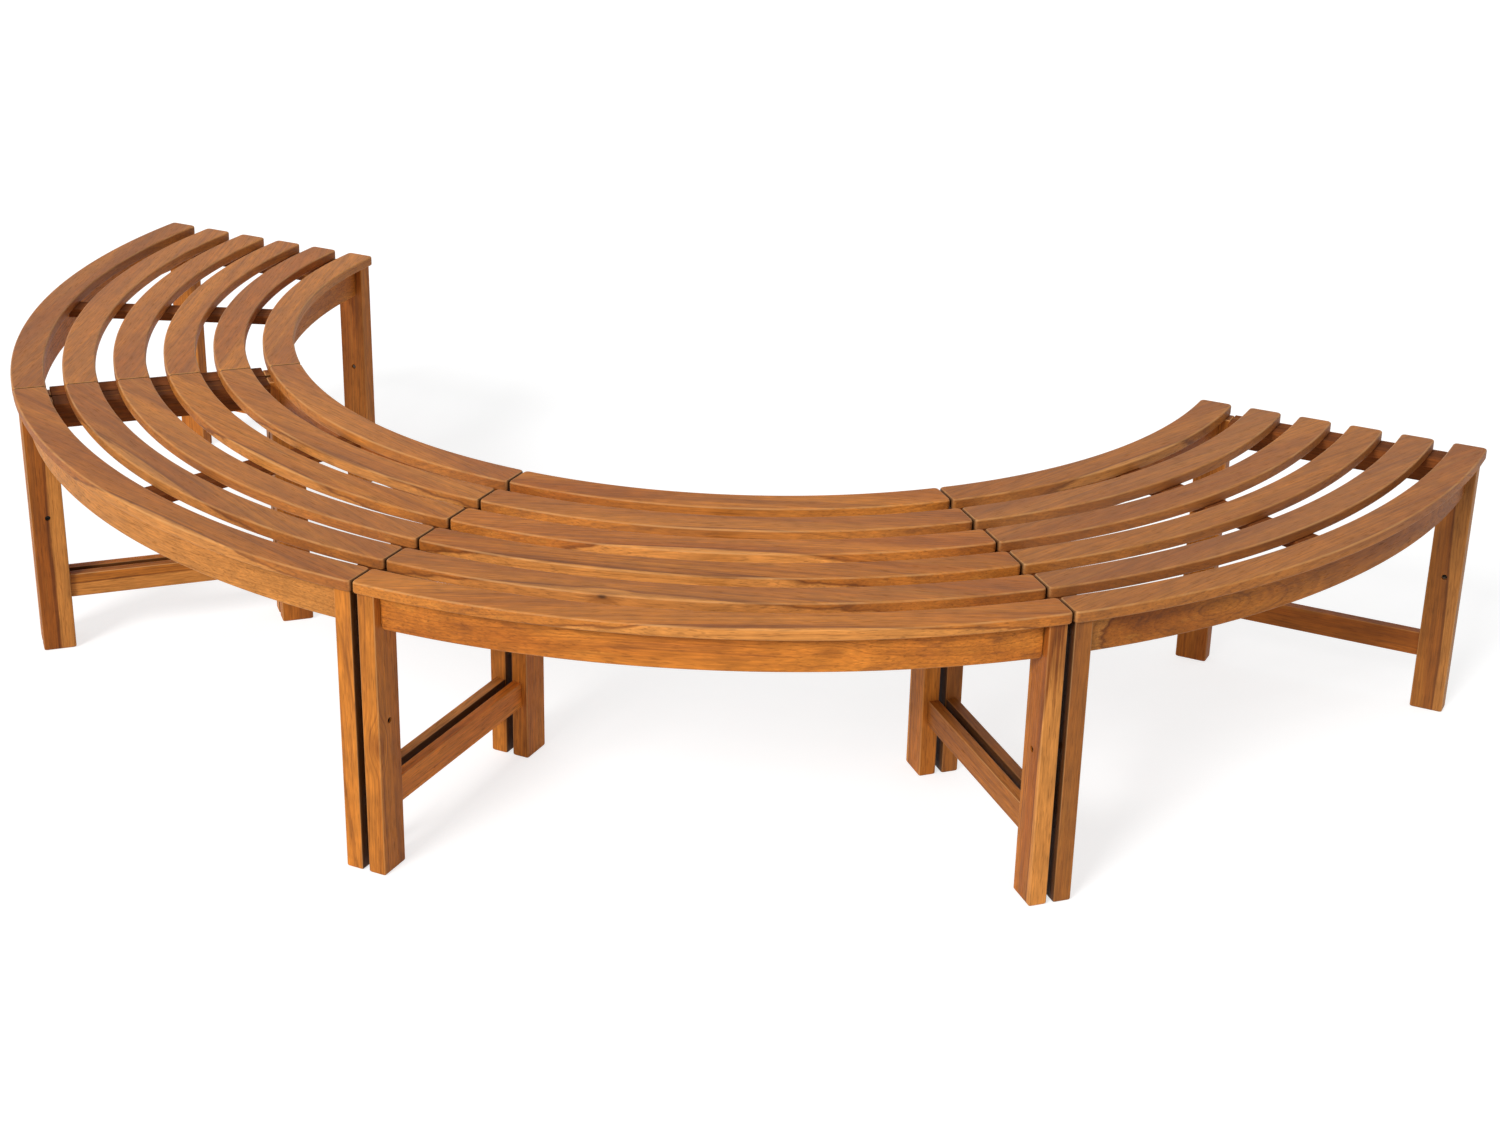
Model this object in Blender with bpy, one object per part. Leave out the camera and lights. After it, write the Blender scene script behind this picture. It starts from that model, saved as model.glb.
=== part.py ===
"""A teak tree bench: four curved segments that stand side by side as half a ring.

Units are metres and +Z is up. The middle of the bench's box stands on the origin, the open side of
the half ring looks along +Y, and +X is the right end as seen from outside.

Each segment is modelled on its own ring: the left joint plane holds the X axis, the segment runs
anticlockwise from there, and an empty turns it to its place. A piece of an end frame is modelled at
the left joint plane, and the right one is its mirror image turned by the angle of a segment.
"""

from math import asin, cos, pi, radians, sin

import bmesh
import bpy
from mathutils import Matrix, Vector

# Overall form
SEGMENT_COUNT = 4
SEGMENT_ANGLE = radians(45)
FACING_ANGLE = radians(-90)
SEAT_HEIGHT = 0.450
INNER_RADIUS = 0.800
JOINT_SEAM = 0.002

# Seat slats
SLAT_COUNT = 6
SLAT_WIDTH = 0.0525
SLAT_GAP = 0.029
SLAT_THICKNESS = 0.017
SLAT_EASE = 0.003

# Legs, with the long side along the radius
LEG_WIDTH = 0.052
LEG_THICKNESS = 0.027
LEG_INSET = 0.007
LEG_SETBACK = 0.004
LEG_EASE = 0.002

# Curved aprons between the legs
APRON_THICKNESS = 0.022
APRON_HEIGHT = 0.055
APRON_SETBACK = 0.0135
APRON_EASE = 0.003

# Straight members of an end frame, and the flat cleats under the slats
RAIL_THICKNESS = 0.017
RAIL_SETBACK = 0.001
RAIL_HEIGHT = 0.033
STRETCHER_HEIGHT = 0.040
STRETCHER_CLEARANCE = 0.088
CLEAT_WIDTH = 0.045
CLEAT_THICKNESS = 0.015
STRAIGHT_EASE = 0.0015

# Mortise and tenon joints, and the housings that carry the middle cleat
TENON_DEPTH = 0.015
TENON_THICKNESS = 0.008
TENON_SHOULDER = 0.005
HOUSING_DEPTH = 0.011
FIT = 0.0003

# Bolts that hold neighbouring segments together
BOLT_HEIGHT = 0.235
BOLT_DIAMETER = 0.0084
BOLT_RECESS = 0.002
SOCKET_DIAMETER = 0.005
SOCKET_DEPTH = 0.003

# Facets and cuts
ARC_STEPS = 12
ROUND_SIDES = 16
SOCKET_SIDES = 6
SHARP_ANGLE = radians(40)
OVERRUN = 0.004

# Colours as seen in daylight, one for each kind of piece
SLAT_COLOUR = "B07A54"
LEG_COLOUR = "BC7A40"
APRON_COLOUR = "C08144"
CLEAT_COLOUR = "8A5733"
STEEL_COLOUR = "A8A8A4"
PLANK_TONE_SHARES = (1.0, 0.92, 1.06, 0.97, 0.88, 1.03, 0.94)
OILED_ROUGHNESS_SHARE = 0.55
STEEL_ROUGHNESS_SHARE = 0.35

# Radii and heights that follow from the sizes above
OUTER_RADIUS = INNER_RADIUS + SLAT_COUNT * SLAT_WIDTH + (SLAT_COUNT - 1) * SLAT_GAP
SLAT_UNDERSIDE = SEAT_HEIGHT - SLAT_THICKNESS
SUPPORT_TOP = SLAT_UNDERSIDE - FIT
APRON_BOTTOM = SUPPORT_TOP - APRON_HEIGHT
CLEAT_BOTTOM = SUPPORT_TOP - CLEAT_THICKNESS
RAIL_BOTTOM = CLEAT_BOTTOM - RAIL_HEIGHT
STRETCHER_TOP = STRETCHER_CLEARANCE + STRETCHER_HEIGHT

OUTER_LEG = (OUTER_RADIUS - LEG_INSET - LEG_WIDTH, OUTER_RADIUS - LEG_INSET)
INNER_LEG = (INNER_RADIUS + LEG_INSET, INNER_RADIUS + LEG_INSET + LEG_WIDTH)
OUTER_APRON = (OUTER_LEG[1] - APRON_SETBACK - APRON_THICKNESS, OUTER_LEG[1] - APRON_SETBACK)
INNER_APRON = (INNER_LEG[0] + APRON_SETBACK, INNER_LEG[0] + APRON_SETBACK + APRON_THICKNESS)

# Distances from the joint plane, measured square to it
END_GAP = JOINT_SEAM / 2
LEG_NEAR = END_GAP + LEG_SETBACK
LEG_FAR = LEG_NEAR + LEG_THICKNESS
RAIL_NEAR = LEG_NEAR + RAIL_SETBACK
RAIL_FAR = RAIL_NEAR + RAIL_THICKNESS
CLEAT_NEAR = END_GAP
CLEAT_FAR = END_GAP + CLEAT_WIDTH


def span(middle, size):
    """The low and high end of a size laid evenly about its middle."""
    return (middle - size / 2, middle + size / 2)


def grown(pair, amount):
    """A low and high end, each moved outward by an amount."""
    return (pair[0] - amount, pair[1] + amount)


def middle_of(pair):
    return (pair[0] + pair[1]) / 2


def mesh_from(bm, name):
    """Turns the faces outward and keeps the shape as a mesh."""
    bmesh.ops.recalc_face_normals(bm, faces=bm.faces)
    mesh = bpy.data.meshes.new(name)
    bm.to_mesh(mesh)
    bm.free()
    return mesh


def ease_edges(bm, width):
    """Takes the sharp arrises off, as a router or sandpaper leaves them."""
    sharp_edges = [edge for edge in bm.edges if edge.calc_face_angle() > SHARP_ANGLE]
    bmesh.ops.bevel(bm, geom=sharp_edges, offset=width, segments=1, affect="EDGES")


def straight_bar(name, x, y, z, ease=0.0, turn=0.0):
    """A box between low and high ends along each axis, turned about Z afterwards."""
    bm = bmesh.new()
    bmesh.ops.create_cube(bm, size=1)
    lows = Vector((min(x), min(y), min(z)))
    highs = Vector((max(x), max(y), max(z)))
    for vertex in bm.verts:
        vertex.co = (lows + highs) / 2 + vertex.co * (highs - lows)
    if ease:
        bmesh.ops.recalc_face_normals(bm, faces=bm.faces)
        ease_edges(bm, ease)
    bmesh.ops.rotate(bm, verts=bm.verts, matrix=Matrix.Rotation(turn, 3, "Z"))
    return mesh_from(bm, name)


def curved_bar(name, radii, z, end_gap, ease):
    """A bar that follows the ring, with both ends cut parallel to the joint planes."""
    bm = bmesh.new()
    corners = ((radii[0], z[0]), (radii[1], z[0]), (radii[1], z[1]), (radii[0], z[1]))
    sections = []
    for step in range(ARC_STEPS + 1):
        section = []
        for radius, height in corners:
            margin = asin(end_gap / radius)
            angle = margin + (SEGMENT_ANGLE - 2 * margin) * step / ARC_STEPS
            section.append(bm.verts.new((radius * cos(angle), radius * sin(angle), height)))
        sections.append(section)
    for section, following in zip(sections, sections[1:]):
        for side in range(len(corners)):
            after = (side + 1) % len(corners)
            bm.faces.new((section[side], section[after], following[after], following[side]))
    bm.faces.new(sections[0])
    bm.faces.new(sections[-1])
    bmesh.ops.recalc_face_normals(bm, faces=bm.faces)
    ease_edges(bm, ease)
    return mesh_from(bm, name)


def cross_pin(name, diameter, radius, y, height, sides):
    """A round or many-sided bar across the joint plane, at a radius and height."""
    bm = bmesh.new()
    length = max(y) - min(y)
    bmesh.ops.create_cone(
        bm, cap_ends=True, segments=sides, radius1=diameter / 2, radius2=diameter / 2, depth=length
    )
    bmesh.ops.rotate(bm, verts=bm.verts, matrix=Matrix.Rotation(pi / 2, 3, "X"))
    bmesh.ops.translate(bm, verts=bm.verts, vec=(radius, middle_of(y), height))
    return mesh_from(bm, name)


def worked(base, joined=(), cut=()):
    """The base mesh with some shapes glued on and others cut out of it."""
    body = bpy.data.objects.new(base.name, base)
    bpy.context.collection.objects.link(body)
    tools = []
    for operation, shapes in (("UNION", joined), ("DIFFERENCE", cut)):
        for shape in shapes:
            tool = bpy.data.objects.new("tool", shape)
            bpy.context.collection.objects.link(tool)
            tools.append(tool)
            modifier = body.modifiers.new(shape.name, "BOOLEAN")
            modifier.operation = operation
            modifier.solver = "EXACT"
            modifier.object = tool
    depsgraph = bpy.context.evaluated_depsgraph_get()
    mesh = bpy.data.meshes.new_from_object(body.evaluated_get(depsgraph))
    mesh.name = base.name
    for helper in [body] + tools:
        bpy.data.objects.remove(helper)
    return mesh


def apron_tenon(radii):
    """The ends of an apron tenon along X and Z."""
    z = grown((APRON_BOTTOM, SUPPORT_TOP), -TENON_SHOULDER)
    return span(middle_of(radii), TENON_THICKNESS), z


def member_tenon(z):
    """The ends of a rail or stretcher tenon along Y and Z."""
    y = span(middle_of((RAIL_NEAR, RAIL_FAR)), TENON_THICKNESS)
    return y, grown(z, -TENON_SHOULDER)


def on_side(side, pair):
    """A low and high distance from the joint plane, on the left (1) or right (-1) end's side of it."""
    return (side * pair[0], side * pair[1])


def leg_cuts(side, leg, apron):
    """What every leg loses: the mortise for its apron and the hole for the bolt."""
    tenon_x, tenon_z = apron_tenon(apron)
    mortise_y = (LEG_FAR - TENON_DEPTH - FIT, LEG_FAR + OVERRUN)
    hole_y = (LEG_NEAR - OVERRUN, LEG_FAR + OVERRUN)
    hole_diameter = BOLT_DIAMETER + 2 * FIT
    return [
        straight_bar("mortise", grown(tenon_x, FIT), on_side(side, mortise_y), grown(tenon_z, FIT)),
        cross_pin("hole", hole_diameter, middle_of(leg), on_side(side, hole_y), BOLT_HEIGHT, ROUND_SIDES),
    ]


def leg_blank(name, side, leg):
    y = on_side(side, (LEG_NEAR, LEG_FAR))
    return straight_bar(name, leg, y, (0.0, SUPPORT_TOP), ease=LEG_EASE)


def outer_leg_mesh(side):
    """An outer leg, mortised for its apron, the top rail and the stretcher."""
    cuts = leg_cuts(side, OUTER_LEG, OUTER_APRON)
    mortise_x = (OUTER_LEG[0] - OVERRUN, OUTER_LEG[0] + TENON_DEPTH + FIT)
    for z in ((STRETCHER_CLEARANCE, STRETCHER_TOP), (RAIL_BOTTOM, CLEAT_BOTTOM)):
        tenon_y, tenon_z = member_tenon(z)
        mortise_y = on_side(side, grown(tenon_y, FIT))
        cuts.append(straight_bar("member_mortise", mortise_x, mortise_y, grown(tenon_z, FIT)))
    return worked(leg_blank("outer_leg", side, OUTER_LEG), cut=cuts)


def inner_frame_mesh(side):
    """An inner leg with the top rail, the stretcher and the end cleat glued up with it.

    The rail and the stretcher run out into tenons for the outer leg. The cleat lies flat on the rail
    and carries the slats between the two legs.
    """
    member_y = on_side(side, (RAIL_NEAR, RAIL_FAR))
    member_x = (INNER_LEG[1] - OVERRUN, OUTER_LEG[0] - FIT)
    tenon_x = (member_x[1] - OVERRUN, OUTER_LEG[0] + TENON_DEPTH)
    rail_z = (RAIL_BOTTOM, CLEAT_BOTTOM)
    stretcher_z = (STRETCHER_CLEARANCE, STRETCHER_TOP)
    glued = [
        straight_bar("stretcher", member_x, member_y, stretcher_z, ease=STRAIGHT_EASE),
        straight_bar("top_rail", member_x, member_y, (rail_z[0], rail_z[1] + OVERRUN), ease=STRAIGHT_EASE),
        straight_bar(
            "end_cleat",
            (INNER_LEG[1] + FIT, OUTER_LEG[0] - FIT),
            on_side(side, (CLEAT_NEAR, CLEAT_FAR)),
            (CLEAT_BOTTOM, SUPPORT_TOP),
            ease=STRAIGHT_EASE,
        ),
    ]
    for z in (stretcher_z, rail_z):
        tenon_y, tenon_z = member_tenon(z)
        glued.append(straight_bar("member_tenon", tenon_x, on_side(side, tenon_y), tenon_z))
    blank = leg_blank("inner_frame", side, INNER_LEG)
    return worked(blank, joined=glued, cut=leg_cuts(side, INNER_LEG, INNER_APRON))


def apron_mesh(name, radii, housing_face, inward):
    """A curved apron with a tenon at each end and a housing for the middle cleat.

    The housing is cut into the face at one radius; inward is 1 where it goes to larger radii.
    """
    tenon_x, tenon_z = apron_tenon(radii)
    tenon_y = (LEG_FAR - TENON_DEPTH, LEG_FAR + FIT + OVERRUN)
    tenons = [
        straight_bar("left_tenon", tenon_x, tenon_y, tenon_z),
        straight_bar("right_tenon", tenon_x, on_side(-1, tenon_y), tenon_z, turn=SEGMENT_ANGLE),
    ]
    housing = straight_bar(
        "housing",
        (housing_face - inward * OVERRUN, housing_face + inward * (HOUSING_DEPTH + FIT)),
        span(0.0, CLEAT_WIDTH + 2 * FIT),
        (CLEAT_BOTTOM - FIT, SUPPORT_TOP + OVERRUN),
        turn=SEGMENT_ANGLE / 2,
    )
    blank = curved_bar(name, radii, (APRON_BOTTOM, SUPPORT_TOP), LEG_FAR + FIT, APRON_EASE)
    return worked(blank, joined=tenons, cut=[housing])


def middle_cleat_mesh():
    """The flat cleat half way along a segment, its ends housed in both aprons."""
    x = (INNER_APRON[1] - HOUSING_DEPTH, OUTER_APRON[0] + HOUSING_DEPTH)
    return straight_bar(
        "middle_cleat",
        x,
        span(0.0, CLEAT_WIDTH),
        (CLEAT_BOTTOM, SUPPORT_TOP),
        ease=STRAIGHT_EASE,
        turn=SEGMENT_ANGLE / 2,
    )


def slat_mesh(index):
    """One seat slat, counted outward from the tree side."""
    inner = INNER_RADIUS + index * (SLAT_WIDTH + SLAT_GAP)
    radii = (inner, inner + SLAT_WIDTH)
    return curved_bar("slat", radii, (SLAT_UNDERSIDE, SEAT_HEIGHT), END_GAP, SLAT_EASE)


def bolt_mesh(leg):
    """A steel pin through two neighbouring legs, with a hexagon socket in each end."""
    reach = LEG_FAR - BOLT_RECESS
    radius = middle_of(leg)
    sockets = []
    for side in (1, -1):
        y = on_side(side, (reach - SOCKET_DEPTH, reach + OVERRUN))
        sockets.append(cross_pin("socket", SOCKET_DIAMETER, radius, y, BOLT_HEIGHT, SOCKET_SIDES))
    blank = cross_pin("bolt", BOLT_DIAMETER, radius, (-reach, reach), BOLT_HEIGHT, ROUND_SIDES)
    return worked(blank, cut=sockets)


def linear(channel):
    """An sRGB channel from 0 to 1 as linear light."""
    return channel / 12.92 if channel <= 0.04045 else ((channel + 0.055) / 1.055) ** 2.4


def finish(piece, colour, roughness, metallic, tone=1.0):
    """Gives one piece a material of its own."""
    material = bpy.data.materials.new(piece.name)
    material.use_nodes = True
    shader = material.node_tree.nodes["Principled BSDF"]
    channels = [tone * linear(int(colour[at:at + 2], 16) / 255) for at in (0, 2, 4)]
    shader.inputs["Base Color"].default_value = (*channels, 1.0)
    shader.inputs["Roughness"].default_value = roughness
    shader.inputs["Metallic"].default_value = metallic
    piece.material_slots[0].link = "OBJECT"
    piece.material_slots[0].material = material


def empty(name, parent=None, turn=0.0, location=(0.0, 0.0, 0.0)):
    marker = bpy.data.objects.new(name, None)
    bpy.context.collection.objects.link(marker)
    marker.parent = parent
    marker.location = location
    marker.rotation_euler.z = turn
    return marker


def place(name, mesh, parent, turn=0.0):
    """Adds one piece to a segment or joint, turned about the ring's centre."""
    if not mesh.materials:
        mesh.materials.append(None)
    mesh.shade_smooth()
    mesh.set_sharp_from_angle(angle=SHARP_ANGLE)
    piece = bpy.data.objects.new(name, mesh)
    bpy.context.collection.objects.link(piece)
    piece.parent = parent
    piece.rotation_euler.z = turn
    return piece


def place_wood(name, mesh, parent, colour, turn=0.0):
    """Adds one wooden piece, its tone a little unlike its neighbours'."""
    piece = place(name, mesh, parent, turn)
    tone = PLANK_TONE_SHARES[len(bpy.data.materials) % len(PLANK_TONE_SHARES)]
    finish(piece, colour, OILED_ROUGHNESS_SHARE, 0.0, tone)


def build():
    for leftover in list(bpy.data.objects):
        bpy.data.objects.remove(leftover)

    slats = [slat_mesh(index) for index in range(SLAT_COUNT)]
    outer_apron = apron_mesh("outer_apron", OUTER_APRON, OUTER_APRON[0], 1)
    inner_apron = apron_mesh("inner_apron", INNER_APRON, INNER_APRON[1], -1)
    middle_cleat = middle_cleat_mesh()
    ends = [("left", 1, 0.0), ("right", -1, SEGMENT_ANGLE)]
    outer_legs = {end: outer_leg_mesh(side) for end, side, turn in ends}
    inner_frames = {end: inner_frame_mesh(side) for end, side, turn in ends}
    bolts = {"outer": bolt_mesh(OUTER_LEG), "inner": bolt_mesh(INNER_LEG)}

    ring = empty("ring_centre", location=(0.0, (OUTER_RADIUS + END_GAP) / 2, 0.0))
    first_turn = FACING_ANGLE - SEGMENT_COUNT * SEGMENT_ANGLE / 2

    for number in range(1, SEGMENT_COUNT + 1):
        label = f"segment_{number}"
        segment = empty(label, ring, first_turn + (number - 1) * SEGMENT_ANGLE)
        for index, slat in enumerate(slats, start=1):
            place_wood(f"{label}_slat_{index}", slat, segment, SLAT_COLOUR)
        place_wood(f"{label}_outer_apron", outer_apron, segment, APRON_COLOUR)
        place_wood(f"{label}_inner_apron", inner_apron, segment, APRON_COLOUR)
        place_wood(f"{label}_middle_cleat", middle_cleat, segment, CLEAT_COLOUR)
        for end, side, turn in ends:
            place_wood(f"{label}_outer_leg_{end}", outer_legs[end], segment, LEG_COLOUR, turn)
            place_wood(f"{label}_inner_frame_{end}", inner_frames[end], segment, LEG_COLOUR, turn)

    for number in range(1, SEGMENT_COUNT):
        label = f"joint_{number}_{number + 1}"
        joint = empty(label, ring, first_turn + number * SEGMENT_ANGLE)
        for row, bolt in bolts.items():
            pin = place(f"{label}_{row}_bolt", bolt, joint)
            finish(pin, STEEL_COLOUR, STEEL_ROUGHNESS_SHARE, 1.0)


build()
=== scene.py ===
"""The looks of a teak tree bench: four curved segments, bolted together as half a ring.

Lengths are metres in the frame's axes: +Z up, +Y towards the open side of the ring.
"""

from math import asin, cos, hypot, pi, radians, sin
from random import Random

import bmesh
import bpy
from mathutils import Matrix, Vector


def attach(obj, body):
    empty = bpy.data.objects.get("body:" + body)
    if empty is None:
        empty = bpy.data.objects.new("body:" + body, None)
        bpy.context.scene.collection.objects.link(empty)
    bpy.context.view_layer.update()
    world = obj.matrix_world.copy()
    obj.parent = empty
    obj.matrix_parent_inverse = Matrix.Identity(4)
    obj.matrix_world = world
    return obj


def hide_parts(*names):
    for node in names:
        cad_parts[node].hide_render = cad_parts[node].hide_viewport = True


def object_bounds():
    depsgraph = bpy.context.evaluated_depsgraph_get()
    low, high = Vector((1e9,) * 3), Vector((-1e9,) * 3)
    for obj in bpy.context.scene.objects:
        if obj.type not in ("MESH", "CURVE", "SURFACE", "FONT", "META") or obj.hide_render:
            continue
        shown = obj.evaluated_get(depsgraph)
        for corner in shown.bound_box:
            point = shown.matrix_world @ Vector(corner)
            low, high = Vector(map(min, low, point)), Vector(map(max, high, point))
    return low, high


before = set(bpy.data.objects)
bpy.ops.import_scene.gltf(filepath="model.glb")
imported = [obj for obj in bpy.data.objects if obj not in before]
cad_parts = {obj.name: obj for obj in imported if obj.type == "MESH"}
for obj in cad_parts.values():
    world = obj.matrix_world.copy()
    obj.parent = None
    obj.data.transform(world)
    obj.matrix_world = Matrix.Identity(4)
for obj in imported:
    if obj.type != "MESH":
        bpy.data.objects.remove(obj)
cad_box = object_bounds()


# Camera. It stands where the photographer stood: outside the ring, right of the middle, looking
# down on the seat. Its place and lens were worked out from the corners of the bench.
camera_place = Vector((1.780, -3.1535, 1.828))
camera_azimuth = radians(25.04)
camera_dip = radians(23.74)
camera_roll = radians(1.40)
sensor_width_mm = 36.0
lens_mm = 60.09
frame_width_px = 1500
lens_axis_right_px = 8.5
lens_axis_down_px = 0.9

forward = Vector((
    -sin(camera_azimuth) * cos(camera_dip),
    cos(camera_azimuth) * cos(camera_dip),
    -sin(camera_dip),
))
level = forward.cross(Vector((0, 0, 1))).normalized()
upright = level.cross(forward)
camera_right = cos(camera_roll) * level + sin(camera_roll) * upright
camera_up = cos(camera_roll) * upright - sin(camera_roll) * level
camera = bpy.data.objects.new("camera", bpy.data.cameras.new("camera"))
bpy.context.collection.objects.link(camera)
camera.matrix_world = (
    Matrix.Translation(camera_place) @ Matrix((camera_right, camera_up, -forward)).transposed().to_4x4()
)
camera.data.sensor_width = sensor_width_mm
camera.data.lens = lens_mm
camera.data.shift_x = -lens_axis_right_px / frame_width_px
camera.data.shift_y = lens_axis_down_px / frame_width_px
bpy.context.scene.camera = camera


# Ring. All segments share one centre, which lies on the line of the two open ends. A segment is
# laid out from its left joint line, which holds its own X axis, and then turned to its place.
outer_radius = (cad_box[1].x - cad_box[0].x) / 2
seat_height = cad_box[1].z
ring_centre = Vector((0, cad_box[0].y + outer_radius, 0))
segment_count = 4
segment_angle = pi / segment_count
joint_seam = 0.002
fitting_gap = 0.0003


def first_turn(number):
    """How far segment 1, 2, 3 or 4 is turned about the ring's centre."""
    return -pi + (number - 1) * segment_angle


# Teak boards. Every board is sawn from a log, and its figure comes from where it lay in that log:
# growth rings about the heart, pale sapwood outside them, fibres and pores along the trunk, and
# here and there a knot that the rings bend round. Each mesh carries its points' places in the log.
far_away = 9.0
usual_tones = (0.92, 1.06)


def sawn_from_log(mesh, name, centre, grain, across, heart, sapwood,
                  slope=(0, 0), knot=None, tone=None, grey=0.0):
    """Writes where each point of a board lay in its log, and how this board is coloured.

    heart is the middle of the log, measured across and above the board's centre, and slope is how
    much it leans from the board's length. sapwood is the radius at which the pale wood begins.
    knot is a place along, across and above the centre.
    """
    chance = Random(name)
    start = chance.uniform(0, far_away)
    above = across.cross(grain)
    places = mesh.attributes.new("log_place", "FLOAT_VECTOR", "POINT")
    knots = mesh.attributes.new("from_knot", "FLOAT_VECTOR", "POINT")
    looks = mesh.attributes.new("board_look", "FLOAT_VECTOR", "POINT")
    knot = Vector(knot or (far_away, 0, 0))
    look = (tone or chance.uniform(*usual_tones), sapwood, grey)
    for index, vertex in enumerate(mesh.vertices):
        offset = vertex.co - centre
        place = Vector((offset.dot(grain), offset.dot(across), offset.dot(above)))
        knots.data[index].vector = place - knot
        looks.data[index].vector = look
        place.y -= heart[0] + slope[0] * place.x
        place.z -= heart[1] + slope[1] * place.x
        place.x += start
        places.data[index].vector = place


def linear(hex_colour):
    """An sRGB colour written in hex, as linear light with full alpha."""
    channels = [int(hex_colour[at:at + 2], 16) / 255 for at in (0, 2, 4)]
    return [c / 12.92 if c <= 0.04045 else ((c + 0.055) / 1.055) ** 2.4 for c in channels] + [1.0]


def add_node(tree, kind, inputs=(), output=0, **settings):
    """Adds a node, sets or links its inputs by their name or number, and returns one output.

    A colour mix has its share at input 0, its two colours at 6 and 7, and its result at output 2.
    """
    node = tree.nodes.new(kind)
    for setting, value in settings.items():
        setattr(node, setting, value)
    for socket, value in dict(inputs).items():
        if isinstance(value, bpy.types.NodeSocket):
            tree.links.new(value, node.inputs[socket])
        else:
            node.inputs[socket].default_value = value
    return node.outputs[output] if node.outputs else node


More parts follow.
